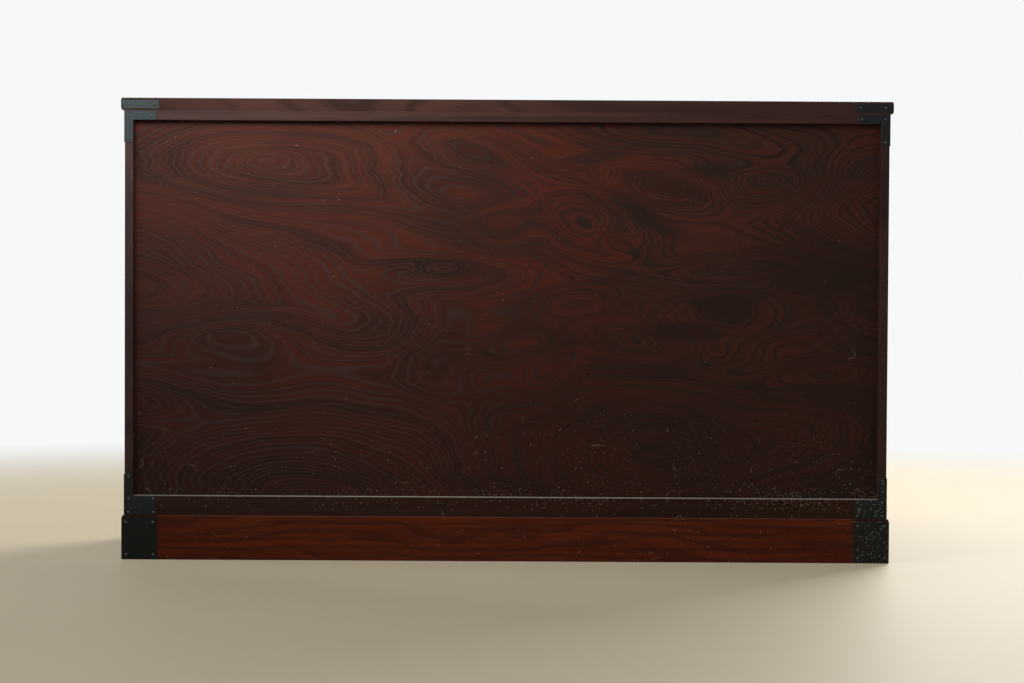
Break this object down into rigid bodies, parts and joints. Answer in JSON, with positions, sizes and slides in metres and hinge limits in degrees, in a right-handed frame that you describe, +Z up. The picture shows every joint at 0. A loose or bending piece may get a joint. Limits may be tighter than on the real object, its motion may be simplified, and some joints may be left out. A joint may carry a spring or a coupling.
{
  "type": "sideboard",
  "caption": "Low wooden sideboard in dark lacquer with iron corner fittings: a cupboard, a glazed display with sliding doors over a wide drawer, and a stack of drawers.",
  "frame": {"origin": "centre of the footprint, on the floor under the base", "axes": "+Z up; the front with its drawers and doors faces -Y and the back faces +Y; +X is to the right for someone facing the front"},
  "size_m": [1.671, 0.47, 1],
  "materials": {
    "case_wood": "satin lacquer",
    "back_wood": "satin lacquer",
    "base_wood": "satin lacquer",
    "front_wood": "satin lacquer",
    "plain_wood": "unfinished",
    "black_iron": "blackened, satin",
    "bare_steel": "satin",
    "catch_plastic": "matt",
    "glass": "clear"
  },
  "bodies": {
    "cabinet": {"top_board": "case_wood", "left_side_panel": "case_wood", "right_side_panel": "case_wood", "carcass_top_panel": "case_wood", "carcass_bottom_panel": "plain_wood", "carcass_bottom_rails": "case_wood", "left_partition": "case_wood", "right_partition": "case_wood", "back_panel": "back_wood", "display_floor": "case_wood", "display_shelf": "case_wood", "cupboard_shelves": "plain_wood", "shelf_pins": "bare_steel", "drawer_rails": "case_wood", "drawer_runners": "plain_wood", "base_front_board": "base_wood", "base_back_board": "base_wood", "base_left_board": "base_wood", "base_right_board": "base_wood", "base_corner_blocks": "plain_wood", "top_board_corner_caps": "black_iron", "upper_corner_brackets": "black_iron", "lower_corner_brackets": "black_iron", "base_corner_caps": "black_iron", "fitting_nails": "black_iron", "cupboard_hinge_fixed_leaves": "black_iron", "cupboard_magnet_catch": "catch_plastic"},
    "drawer_1": {"drawer_1_front": "front_wood", "drawer_1_box": "plain_wood", "drawer_1_handle_plate": "black_iron"},
    "drawer_1_bail": {"drawer_1_handle": "black_iron"},
    "drawer_2": {"drawer_2_front": "front_wood", "drawer_2_box": "plain_wood", "drawer_2_handle_plate": "black_iron"},
    "drawer_2_bail": {"drawer_2_handle": "black_iron"},
    "drawer_3": {"drawer_3_front": "front_wood", "drawer_3_box": "plain_wood", "drawer_3_handle_plate": "black_iron"},
    "drawer_3_bail": {"drawer_3_handle": "black_iron"},
    "drawer_4": {"drawer_4_front": "front_wood", "drawer_4_box": "plain_wood", "drawer_4_handle_plate": "black_iron"},
    "drawer_4_bail": {"drawer_4_handle": "black_iron"},
    "wide_drawer": {"wide_drawer_front": "front_wood", "wide_drawer_box": "plain_wood", "wide_drawer_handle_plates": "black_iron"},
    "wide_drawer_left_bail": {"wide_drawer_left_handle": "black_iron"},
    "wide_drawer_right_bail": {"wide_drawer_right_handle": "black_iron"},
    "left_glass_door": {"left_glass_door_frame": "front_wood", "left_glass_door_pane": "glass", "left_glass_door_cup_pull": "black_iron"},
    "right_glass_door": {"right_glass_door_frame": "front_wood", "right_glass_door_pane": "glass", "right_glass_door_cup_pull": "black_iron"},
    "cupboard_door": {"cupboard_door_frame": "front_wood", "cupboard_door_panel": "front_wood", "cupboard_hinge_door_leaves": "black_iron", "cupboard_strike_plate": "bare_steel", "cupboard_handle_plate": "black_iron"},
    "cupboard_ring": {"cupboard_handle": "black_iron"}
  },
  "joints": [
    {"name": "drawer_1_slide", "type": "slide", "parent": "cabinet", "child": "drawer_1", "axis": [0, -1, 0], "range_m": [0, 0.3]},
    {"name": "drawer_1_handle_swing", "type": "hinge", "parent": "drawer_1", "child": "drawer_1_bail", "pos_m": [0.608, -0.22855, 0.876], "axis": [-1, 0, 0], "range_deg": [-8, 90]},
    {"name": "drawer_2_slide", "type": "slide", "parent": "cabinet", "child": "drawer_2", "axis": [0, -1, 0], "range_m": [0, 0.3]},
    {"name": "drawer_2_handle_swing", "type": "hinge", "parent": "drawer_2", "child": "drawer_2_bail", "pos_m": [0.608, -0.22855, 0.6765], "axis": [-1, 0, 0], "range_deg": [-8, 90]},
    {"name": "drawer_3_slide", "type": "slide", "parent": "cabinet", "child": "drawer_3", "axis": [0, -1, 0], "range_m": [0, 0.3]},
    {"name": "drawer_3_handle_swing", "type": "hinge", "parent": "drawer_3", "child": "drawer_3_bail", "pos_m": [0.608, -0.22855, 0.4535], "axis": [-1, 0, 0], "range_deg": [-8, 90]},
    {"name": "drawer_4_slide", "type": "slide", "parent": "cabinet", "child": "drawer_4", "axis": [0, -1, 0], "range_m": [0, 0.3]},
    {"name": "drawer_4_handle_swing", "type": "hinge", "parent": "drawer_4", "child": "drawer_4_bail", "pos_m": [0.608, -0.22855, 0.236], "axis": [-1, 0, 0], "range_deg": [-8, 90]},
    {"name": "wide_drawer_slide", "type": "slide", "parent": "cabinet", "child": "wide_drawer", "axis": [0, -1, 0], "range_m": [0, 0.3]},
    {"name": "wide_drawer_left_handle_swing", "type": "hinge", "parent": "wide_drawer", "child": "wide_drawer_left_bail", "pos_m": [-0.2106, -0.22855, 0.236], "axis": [-1, 0, 0], "range_deg": [-8, 90]},
    {"name": "wide_drawer_right_handle_swing", "type": "hinge", "parent": "wide_drawer", "child": "wide_drawer_right_bail", "pos_m": [0.2106, -0.22855, 0.236], "axis": [-1, 0, 0], "range_deg": [-8, 90]},
    {"name": "left_glass_door_slide", "type": "slide", "parent": "cabinet", "child": "left_glass_door", "axis": [1, 0, 0], "range_m": [0, 0.374]},
    {"name": "right_glass_door_slide", "type": "slide", "parent": "cabinet", "child": "right_glass_door", "axis": [-1, 0, 0], "range_m": [0, 0.374]},
    {"name": "cupboard_door_hinge", "type": "hinge", "parent": "cabinet", "child": "cupboard_door", "pos_m": [-0.80725, -0.21985, 0.545], "axis": [0, 0, -1], "range_deg": [0, 110]},
    {"name": "cupboard_handle_swing", "type": "hinge", "parent": "cupboard_door", "child": "cupboard_ring", "pos_m": [-0.4385, -0.22855, 0.545], "axis": [-1, 0, 0], "range_deg": [-15, 90]}
  ]
}
